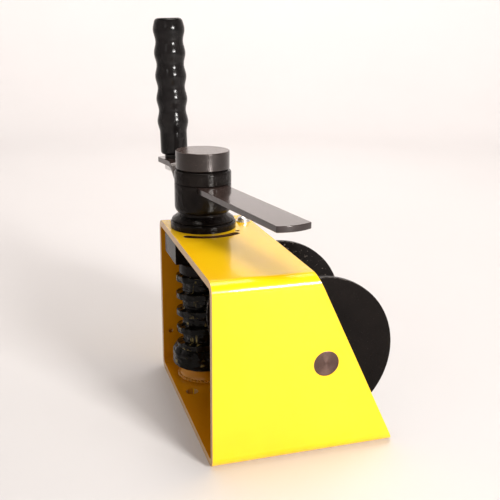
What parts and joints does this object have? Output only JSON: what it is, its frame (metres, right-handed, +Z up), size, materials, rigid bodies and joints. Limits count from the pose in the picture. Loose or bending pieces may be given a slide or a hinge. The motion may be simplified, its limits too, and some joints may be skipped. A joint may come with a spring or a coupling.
{
  "type": "worm gear hand winch",
  "caption": "Hand-cranked worm gear winch: folded sheet housing, rope drum between two discs, upright worm, sliding crank arm with turning ribbed grip.",
  "frame": {"origin": "middle of the housing base's underside, on the surface it is bolted to", "axes": "+Z up out of the base, +X towards the open back where the drum discs stand out, +Y along the drum axle towards the worm gear's side"},
  "size_m": [0.1531, 0.2424, 0.3302],
  "materials": {
    "yellow_paint": "gloss",
    "gloss_black_paint": "gloss, slight orange peel",
    "satin_black_paint": "satin",
    "black_bar_paint": "satin",
    "bronze": "machined",
    "zinc_plate": "bright zinc",
    "turned_steel": "turned",
    "black_oxide": "blackened",
    "grip_plastic": "moulded, semi-gloss"
  },
  "bodies": {
    "frame": {"housing": "yellow_paint", "bearing_flange": "gloss_black_paint", "upper_bearing_block": "satin_black_paint", "upper_bush": "bronze", "lower_bearing_block": "yellow_paint", "lower_bush": "bronze", "block_bolt": "zinc_plate", "block_bolt_washer": "zinc_plate"},
    "drum": {"drum_axle": "turned_steel", "drum_barrel": "satin_black_paint", "near_drum_disc": "satin_black_paint", "far_drum_disc": "satin_black_paint", "near_spacer": "turned_steel", "far_spacer": "turned_steel", "wheel_spacer": "turned_steel", "worm_wheel": "bronze", "wheel_key": "turned_steel", "spacer_set_screws": "black_oxide", "rope_clamp": "zinc_plate", "rope_clamp_screws": "zinc_plate"},
    "crank": {"worm_shaft": "turned_steel", "worm": "satin_black_paint", "thrust_disc": "satin_black_paint", "shaft_collar": "satin_black_paint", "collar_set_screw": "black_oxide", "crank_hub": "gloss_black_paint", "hub_key": "turned_steel", "clamp_ring": "gloss_black_paint", "clamp_ring_screws": "black_oxide"},
    "knob": {"clamp_knob": "satin_black_paint", "clamp_stud": "turned_steel"},
    "arm": {"crank_arm": "black_bar_paint", "grip_spindle": "turned_steel", "spindle_washer": "black_oxide", "spindle_nut": "zinc_plate"},
    "grip": {"grip": "grip_plastic", "grip_cap": "grip_plastic"}
  },
  "joints": [
    {"name": "crank_turn", "type": "hinge", "parent": "frame", "child": "crank", "pos_m": [-0.0434, 0.0592, 0.15], "axis": [0, 0, 1], "continuous": true},
    {"name": "drum_turn", "type": "hinge", "parent": "frame", "child": "drum", "pos_m": [0.0137, 0, 0.0779], "axis": [0, 1, 0], "continuous": true},
    {"name": "arm_slide", "type": "slide", "parent": "crank", "child": "arm", "axis": [-0.1719, 0.9851, 0], "range_m": [0, 0.11]},
    {"name": "knob_turn", "type": "hinge", "parent": "crank", "child": "knob", "pos_m": [-0.0434, 0.0592, 0.21], "axis": [0, 0, 1], "range_deg": [0, 270]},
    {"name": "grip_spin", "type": "hinge", "parent": "arm", "child": "grip", "pos_m": [-0.05492, 0.1252, 0.2026], "axis": [-0.0292, -0.0051, 0.9996], "continuous": true}
  ],
  "couplings": [
    {"joint": "drum_turn", "follows": "crank_turn", "ratio": -0.076923}
  ]
}
